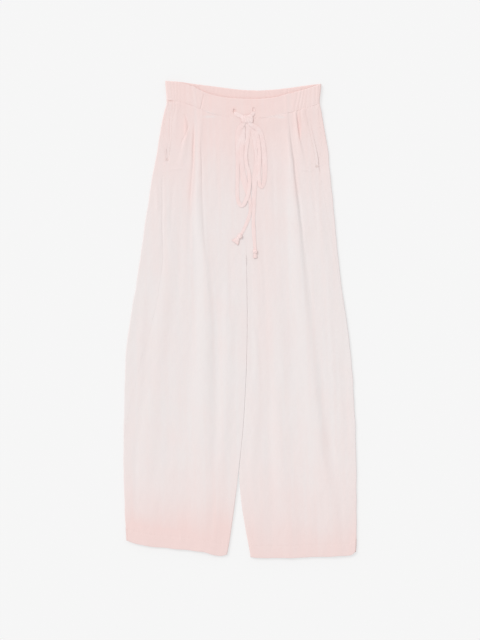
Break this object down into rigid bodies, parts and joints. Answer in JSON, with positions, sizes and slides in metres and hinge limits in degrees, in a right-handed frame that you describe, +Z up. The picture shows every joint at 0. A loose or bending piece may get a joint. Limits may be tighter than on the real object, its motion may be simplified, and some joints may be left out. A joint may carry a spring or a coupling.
{
  "type": "wide-leg drawstring track pants",
  "caption": "Wide-leg pull-on trousers laid flat: gathered elastic waistband with a flat front and a tied drawstring, pleated front, slanted side pockets and turned hems.",
  "frame": {"origin": "middle of the garment's outline, on the surface that it lies on", "axes": "+Y along the legs towards the waist, +X to the right as seen from above, +Z up out of the surface, on the side of the garment's front"},
  "size_m": [0.5016, 1.0264, 0.0187],
  "materials": {
    "cloth": "matt, soft, dip-dyed pale pink to off-white",
    "band": "matt, soft, pale pink, gathered over elastic",
    "tie": "matt, flat woven tie, pink"
  },
  "bodies": {
    "root": {"front_left": "cloth", "front_right": "cloth", "back_left": "cloth", "back_right": "cloth", "pocket_left": "cloth", "pocket_right": "cloth", "waistband_front": "band", "waistband_left": "band", "waistband_right": "band", "waistband_back": "band", "tie_exit_left": "tie", "tie_exit_right": "tie", "tie_knot": "tie", "tie_loop_left": "tie", "tie_loop_right": "tie", "tie_tail_left": "tie", "tie_tail_right": "tie", "tie_end_left": "tie", "tie_end_right": "tie"}
  },
  "joints": []
}
